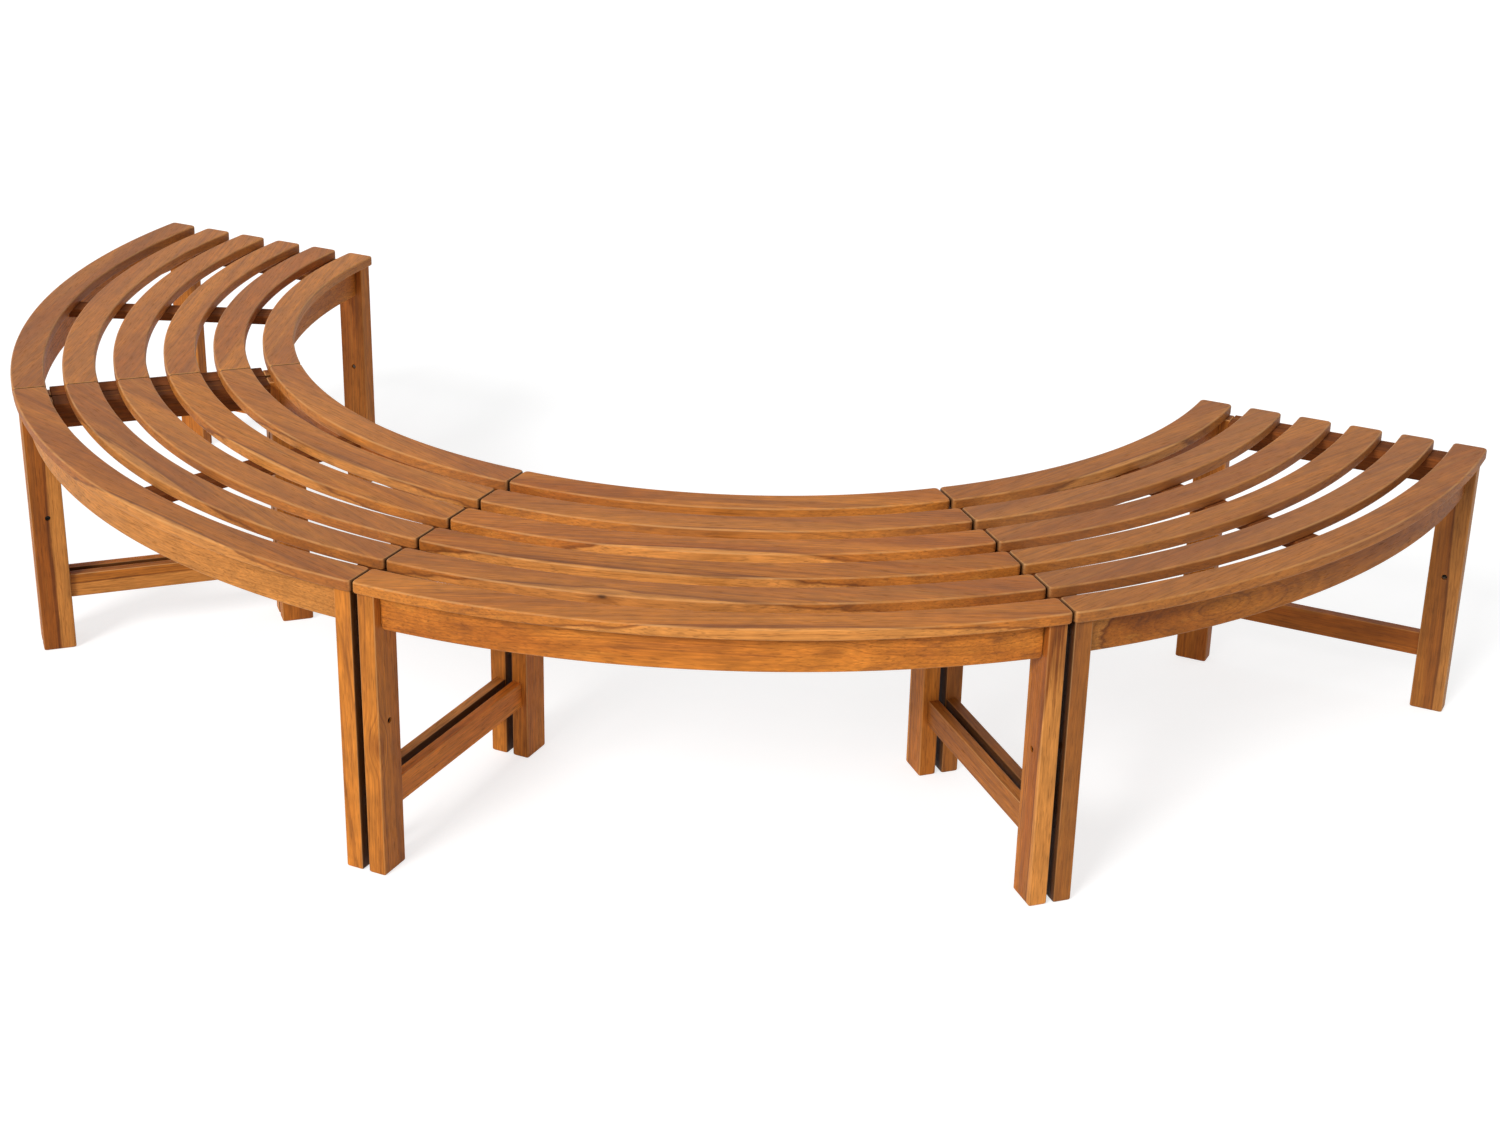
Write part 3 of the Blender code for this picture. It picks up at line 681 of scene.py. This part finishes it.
# The legs that stand out: three have a sapwood edge, one has a knot, and some are only darker or
# lighter than the rest. The darker tone of the second segment's outer left leg is painted shade.
leg_figures = {
    "segment_3_outer_leg_right": {"heart": (-0.090, 0.0), "sapwood": 0.1155},
    "segment_3_outer_leg_left": {
        "heart": (-0.030, 0.05), "sapwood": 0.20, "knot": (-0.012, 0.020, -0.006), "tone": 0.93,
    },
    "segment_2_outer_leg_right": {"heart": (-0.060, 0.03), "sapwood": 0.20, "tone": 1.05},
    # Painted shade: this leg is darkened as a whole for the shade on its face with the bolt hole.
    "segment_2_outer_leg_left": {"heart": (0.080, 0.0), "sapwood": 0.0905, "tone": 0.76},
    "segment_4_outer_leg_left": {"heart": (0.03, 0.070), "sapwood": 0.20, "tone": 0.66, "grey": 0.15},
    "segment_4_outer_leg_right": {"heart": (-0.080, 0.005), "sapwood": 0.089, "tone": 0.64, "grey": 0.10},
    "segment_4_inner_leg_left": {"heart": (-0.070, 0.03), "sapwood": 0.16, "tone": 0.76, "grey": 0.15},
    "segment_1_inner_leg_left": {"heart": (0.070, 0.03), "sapwood": 0.16, "tone": 1.12, "grey": 0.10},
}

for number in range(1, segment_count + 1):
    for end, (side, turn) in ends.items():
        for row, x in (("outer", outer_leg), ("inner", inner_leg)):
            label = f"segment_{number}_{row}_leg_{end}"
            chance = Random(label)
            mesh = leg_mesh(label + "_post", x, side)
            box = x, sorted((side * leg_near, side * leg_far)), (0.0, support_top)
            # Faces that meet the next segment's legs are given painted shade.
            gap_shaded = [] if (number, end) in open_ends else [side * leg_near]
            mark_wear_and_painted_light(mesh, box, leg_rounding, 2, leg_wear_and_highlight, gap_shaded)
            centre = Vector((sum(x) / 2, side * (leg_near + leg_far) / 2, support_top / 2))
            figure = {
                "heart": (chance.uniform(-0.09, 0.09), chance.choice((-1, 1)) * chance.uniform(0.03, 0.10)),
                "sapwood": chance.uniform(0.08, 0.18),
                "slope": (chance.uniform(-0.03, 0.03), chance.uniform(-0.03, 0.03)),
            }
            figure.update(leg_figures.get(label, {}))
            sawn_from_log(mesh, label, centre, up, outward, **figure)
            node = label if row == "outer" else f"segment_{number}_inner_frame_{end}"
            put_in_place(label + "_post", mesh, first_turn(number) + turn, oiled_teak, [node])


# Rails, stretchers and cleats. Straight boards from the inner to the outer leg: a low stretcher,
# oiled, and a top rail with a flat cleat on it that carries the slats, both only planed. A second
# cleat lies across the middle of the segment, its ends let into the aprons.
rail_thickness = 0.017
rail_near = 0.006
rail_height = 0.033
cleat_width = 0.045
cleat_thickness = 0.015
cleat_near = 0.001
stretcher_height = 0.040
stretcher_clearance = 0.088
straight_rounding = 0.0015
housing_depth = 0.011
cleat_bottom = support_top - cleat_thickness
between_legs = (inner_leg[1] + fitting_gap, outer_leg[0] - fitting_gap)
rail_reach = (rail_near, rail_near + rail_thickness)
bars = (
    ("stretcher", rail_reach, (stretcher_clearance, stretcher_clearance + stretcher_height), "leg"),
    ("top_rail", rail_reach, (cleat_bottom - rail_height, cleat_bottom), "leg"),
    ("end_cleat", (cleat_near, cleat_near + cleat_width), (cleat_bottom, support_top), "cleat"),
)
stretcher_wear_and_highlight = (0.6, 0.2)
no_wear_or_highlight = (0.0, 0.0)
bar_tones = {
    "segment_2_stretcher_left": 0.84,
    "segment_2_stretcher_right": 0.82,
    "segment_3_stretcher_left": 1.40,
    "segment_3_stretcher_right": 0.74,
    "segment_4_stretcher_left": 0.48,
    "segment_4_stretcher_right": 0.86,
}

# Planed and never oiled, and always in the shade of the seat: its darker colours are painted
# shade, it is duller, and its arrises are not paled.
planed_teak_in_painted_shade = teak("teak_planed_painted_shade", linear("83461A"), linear("693712"), linear("96602A"), 0.85)

for number in range(1, segment_count + 1):
    for end, (side, turn) in ends.items():
        for kind, reach, z, slot in bars:
            label = f"segment_{number}_{kind}_{end}"
            chance = Random(label)
            oiled_unshaded = kind == "stretcher"
            box = between_legs, sorted((side * reach[0], side * reach[1])), z
            mesh = board_mesh(label, *box, straight_rounding)
            # Faces that meet the next segment are given painted shade.
            gap_shaded = [] if (number, end) in open_ends else [side * reach[0]]
            mark_wear_and_painted_light(mesh, box, straight_rounding, 0, stretcher_wear_and_highlight if oiled_unshaded else no_wear_or_highlight, gap_shaded)
            centre = Vector([sum(limits) / 2 for limits in box])
            heart = (chance.uniform(-0.08, 0.08), chance.choice((-1, 1)) * chance.uniform(0.02, 0.08))
            sapwood = chance.uniform(0.08, 0.16)
            sawn_from_log(mesh, label, centre, outward, up, heart, sapwood, tone=bar_tones.get(label))
            material = oiled_teak if oiled_unshaded else planed_teak_in_painted_shade
            node = f"segment_{number}_inner_frame_{end}"
            put_in_place(label, mesh, first_turn(number) + turn, material, [node])
    node = f"segment_{number}_middle_cleat"
    x = (inner_apron[1] - housing_depth, outer_apron[0] + housing_depth)
    box = x, (-cleat_width / 2, cleat_width / 2), (cleat_bottom, support_top)
    mesh = board_mesh(node + "_board", *box, straight_rounding)
    mark_wear_and_painted_light(mesh, box, straight_rounding, 0, no_wear_or_highlight)
    centre = Vector((sum(x) / 2, 0, support_top - cleat_thickness / 2))
    sawn_from_log(mesh, node, centre, outward, up, heart=(0.03, 0.06), sapwood=0.12)
    put_in_place(
        node + "_board", mesh, first_turn(number) + segment_angle / 2, planed_teak_in_painted_shade, [node]
    )


# Connecting bolts. Steel, 8.4 mm thick, blackened, with a hexagon socket in each end, drawn up
# through the two legs of a joint. The threaded part is seen only in the gap between the legs.
bolt_diameter = 0.0084
bolt_reach = leg_far - 0.002
bolt_chamfer = 0.0006
thread_pitch = 0.00125
thread_depth = 0.0007
thread_reach = 0.012
socket_width = 0.005
socket_depth = 0.003
socket_edge = 0.0002
turned_sides = 36

# Half the width of the thread's flat root and of its flat crest, as shares of its pitch.
thread_root = 0.1
thread_crest = 0.05


def turned_mesh(name, rings, hollow):
    """A turned piece along Y. Each ring is its radius, its place, and whether it is a hexagon.

    The rings of a hollow piece run along its outside and back through its bore. A solid piece is
    closed by a face on its first ring and one on its last.
    """
    bm = bmesh.new()
    rows = []
    for radius, along, hexagon in rings:
        row = []
        for side in range(turned_sides):
            turn = 2 * pi * side / turned_sides
            reach = radius / cos((turn + pi / 6) % (pi / 3) - pi / 6) if hexagon else radius
            row.append(bm.verts.new((reach * cos(turn), along, reach * sin(turn))))
        rows.append(row)
    next_rows = rows[1:] + rows[:1] if hollow else rows[1:]
    for row, following in zip(rows, next_rows):
        for side in range(turned_sides):
            after = (side + 1) % turned_sides
            bm.faces.new((row[side], row[after], following[after], following[side]))
    if not hollow:
        bm.faces.new(rows[0])
        bm.faces.new(rows[-1])
    bmesh.ops.recalc_face_normals(bm, faces=bm.faces)
    return finished(name, bm)


def metal(name, colour, blotch_colour, roughness):
    """Coated steel: faint blotches 2.5 mm across in its colour and gloss, and fine turning marks."""
    blotches_per_metre = 400
    marks_per_metre = 3000
    material = bpy.data.materials.new(name)
    material.use_nodes = True
    tree = material.node_tree
    shader = tree.nodes["Principled BSDF"]
    shader.inputs["Metallic"].default_value = 1.0
    place = add_node(tree, "ShaderNodeTexCoord", output="Object")
    blotch = add_node(
        tree, "ShaderNodeTexNoise", {"Vector": place, "Scale": blotches_per_metre, "Detail": 2}
    )
    tint = add_node(tree, "ShaderNodeMix", {0: blotch, 6: colour, 7: blotch_colour}, 2, data_type="RGBA")
    tree.links.new(tint, shader.inputs["Base Color"])
    gloss = add_node(
        tree, "ShaderNodeMath", {0: blotch, 1: 0.25, 2: roughness - 0.12}, operation="MULTIPLY_ADD"
    )
    tree.links.new(gloss, shader.inputs["Roughness"])
    marks = add_node(
        tree, "ShaderNodeTexNoise", {"Vector": place, "Scale": marks_per_metre, "Detail": 1}
    )
    relief = add_node(tree, "ShaderNodeBump", {"Strength": 0.2, "Distance": 0.0001, "Height": marks})
    tree.links.new(relief, shader.inputs["Normal"])
    return material


# Blackened in hot oil: nearly black, with a dull gleam on its edges.
blackened_steel = metal("steel_blackened", linear("1E1B19"), linear("3A342E"), 0.42)

bolt_radius = bolt_diameter / 2
half = [
    (socket_width / 2, bolt_reach - socket_depth, True),
    (socket_width / 2, bolt_reach - socket_edge, True),
    (bolt_radius - bolt_chamfer, bolt_reach, False),
    (bolt_radius, bolt_reach - bolt_chamfer, False),
    (bolt_radius, thread_reach, False),
]
thread = []
turns = int(2 * thread_reach / thread_pitch)
for count in range(turns):
    at = thread_reach - (count + 0.5) * thread_pitch
    thread.append((bolt_radius - thread_depth, at + thread_root * thread_pitch, False))
    thread.append((bolt_radius - thread_depth, at - thread_root * thread_pitch, False))
    thread.append((bolt_radius, at - (0.5 - thread_crest) * thread_pitch, False))
    thread.append((bolt_radius, at - (0.5 + thread_crest) * thread_pitch, False))
other_half = [(radius, -along, hexagon) for radius, along, hexagon in reversed(half[:-1])]

for joint in range(1, segment_count):
    for row, x in (("outer", outer_leg), ("inner", inner_leg)):
        node = f"joint_{joint}_{joint + 1}_{row}_bolt"
        mesh = turned_mesh(node + "_turned", half + thread[:-1] + other_half, hollow=False)
        mesh.transform(Matrix.Translation((sum(x) / 2, 0, hole_height)))
        put_in_place(node + "_turned", mesh, first_turn(joint + 1), blackened_steel, [node])


# Sleeve nuts. The two free ends have no bolt yet: a zinc plated threaded sleeve is pressed deep
# into each hole, 4.5 mm below both faces, and waits for the other half of the ring.
sleeve_play = 0.0001
sleeve_outer = hole_diameter / 2 - sleeve_play
sleeve_inner = 0.0038
sleeve_sink = 0.0045
sleeve_chamfer = 0.0003
mouth_chamfer = 0.0004
groove_depth = 0.0005
groove_rise = 0.4
groove_margin = 0.001

# Zinc plated: a pale warm grey, brighter and smoother than the bolts.
zinc_plated_steel = metal("steel_zinc_plated", linear("8F887B"), linear("8A8578"), 0.32)

for number, free_end in open_ends:
    side, turn = ends[free_end]
    for row, x in (("outer", outer_leg), ("inner", inner_leg)):
        near = side * (leg_near + sleeve_sink)
        far = side * (leg_far - sleeve_sink)
        profile = [
            (sleeve_inner + mouth_chamfer, near, False),
            (sleeve_outer - sleeve_chamfer, near, False),
            (sleeve_outer, near + side * sleeve_chamfer, False),
            (sleeve_outer, far - side * sleeve_chamfer, False),
            (sleeve_outer - sleeve_chamfer, far, False),
            (sleeve_inner + mouth_chamfer, far, False),
            (sleeve_inner, far - side * mouth_chamfer, False),
        ]
        grooves = int((abs(far - near) - 2 * groove_margin) / thread_pitch)
        for count in range(grooves):
            at = far - side * (groove_margin + (count + 0.5) * thread_pitch)
            profile.append((sleeve_inner + groove_depth, at, False))
            profile.append((sleeve_inner, at - side * groove_rise * thread_pitch, False))
        label = f"segment_{number}_{row}_sleeve_nut"
        mesh = turned_mesh(label, profile, hollow=True)
        mesh.transform(Matrix.Translation((sum(x) / 2, 0, hole_height)))
        put_in_place(label, mesh, first_turn(number) + turn, zinc_plated_steel)


# Floor and light. A pale floor in a white surround, lit softly: a broad low lamp from the front,
# a little left of the middle, and even light from all round. The floor is lifted to white where
# the camera or a reflection sees it, and keeps the bench's shadow.
pure_white = linear("FFFFFF")
sky_strength = 0.44


def plainly_seen(tree):
    """1 where the camera, a reflection or glass sees the surround, and 0 where it gives light."""
    looked_at = add_node(tree, "ShaderNodeLightPath", output="Is Camera Ray")
    mirrored = add_node(tree, "ShaderNodeLightPath", output="Is Glossy Ray")
    through = add_node(tree, "ShaderNodeLightPath", output="Is Transmission Ray")
    seen = add_node(tree, "ShaderNodeMath", {0: looked_at, 1: mirrored}, operation="MAXIMUM")
    return add_node(tree, "ShaderNodeMath", {0: seen, 1: through}, operation="MAXIMUM")


world = bpy.data.worlds.new("surround")
bpy.context.scene.world = world
world.use_nodes = True
tree = world.node_tree
tree.nodes.clear()
sky = add_node(tree, "ShaderNodeBackground", {"Color": pure_white, "Strength": sky_strength})
white = add_node(tree, "ShaderNodeBackground", {"Color": pure_white, "Strength": 1.0})
shown = add_node(tree, "ShaderNodeMixShader", {0: plainly_seen(tree), 1: sky, 2: white})
add_node(tree, "ShaderNodeOutputWorld", {0: shown})

floor_size = 60.0
floor_lift = 0.72
floor_paint = linear("EDEDED")
lifted_floor_paint = linear("B3B3B3")
bm = bmesh.new()
bmesh.ops.create_grid(bm, x_segments=1, y_segments=1, size=floor_size / 2)
bmesh.ops.recalc_face_normals(bm, faces=bm.faces)
floor_mesh = finished("floor", bm)
floor = bpy.data.objects.new("floor", floor_mesh)
bpy.context.collection.objects.link(floor)
painted_floor = bpy.data.materials.new("floor_matt_white_paint")
painted_floor.use_nodes = True
tree = painted_floor.node_tree
tree.nodes.clear()
seen = plainly_seen(tree)
lift = add_node(tree, "ShaderNodeMath", {0: seen, 1: floor_lift}, operation="MULTIPLY")
colour = add_node(
    tree, "ShaderNodeMix", {0: seen, 6: floor_paint, 7: lifted_floor_paint}, 2, data_type="RGBA"
)
paint = add_node(tree, "ShaderNodeBsdfDiffuse", {"Color": colour})
glow = add_node(tree, "ShaderNodeEmission", {"Color": pure_white, "Strength": lift})
shown = add_node(tree, "ShaderNodeAddShader", {0: paint, 1: glow})
add_node(tree, "ShaderNodeOutputMaterial", {0: shown})
floor_mesh.materials.append(painted_floor)

lamp_azimuth = radians(-7)
lamp_height = radians(33)
lamp_spread = radians(18)
lamp_strength = 2.40
lamp = bpy.data.objects.new("front_lamp", bpy.data.lights.new("front_lamp", "SUN"))
bpy.context.collection.objects.link(lamp)
lamp.data.energy = lamp_strength
lamp.data.angle = lamp_spread
towards_lamp = Vector((
    sin(lamp_azimuth) * cos(lamp_height), -cos(lamp_azimuth) * cos(lamp_height), sin(lamp_height)
))
lamp.rotation_euler = (-towards_lamp).to_track_quat("-Z", "Y").to_euler()

bpy.context.scene.view_settings.view_transform = "Standard"
